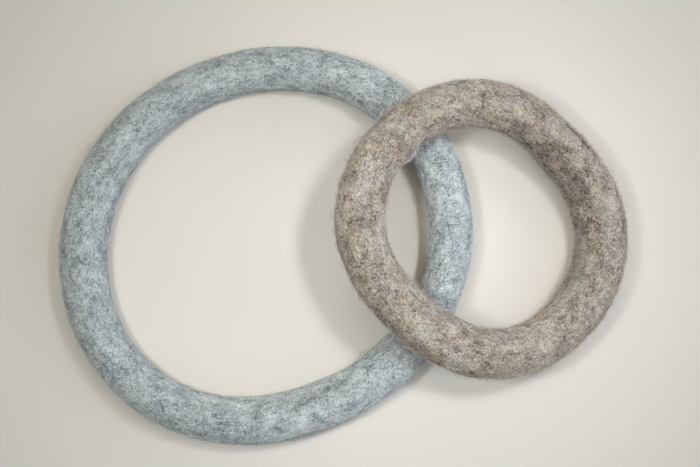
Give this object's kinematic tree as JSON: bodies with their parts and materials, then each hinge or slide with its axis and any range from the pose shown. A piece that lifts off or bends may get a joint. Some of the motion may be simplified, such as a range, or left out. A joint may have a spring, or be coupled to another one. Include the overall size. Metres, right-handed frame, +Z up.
{
  "type": "felted wool dryer rings",
  "caption": "Closed rings of thick hand-felted wool for a tumble dryer, a large blue-grey one lying flat with a smaller brown-grey one leaning on it, loose so it lifts off.",
  "frame": {"origin": "on the ground, under the middle of the box around both rings", "axes": "+Z up from the ground that the large ring lies on; +X from the large ring towards the small one; +Y away from a viewer who has the large ring on the left"},
  "size_m": [0.278, 0.1957, 0.053],
  "materials": {
    "blue_grey_felt": "dense blue-grey wool felt, mottled, with a fine fuzz",
    "brown_grey_felt": "dense brown-grey wool felt of mixed fibres, hairy, with a few red and orange flecks",
    "undyed_batting": "undyed carded wool",
    "undyed_roving": "undyed twisted wool roving"
  },
  "bodies": {
    "large_ring": {"large_ring_felt_coat": "blue_grey_felt", "large_ring_batting": "undyed_batting", "large_ring_core": "undyed_roving"},
    "small_ring": {"small_ring_felt_coat": "brown_grey_felt", "small_ring_batting": "undyed_batting", "small_ring_core": "undyed_roving"}
  },
  "joints": [
    {"name": "small_ring_lift", "type": "slide", "parent": "large_ring", "child": "small_ring", "axis": [0, 0, 1], "range_m": [0, 0.1]}
  ]
}
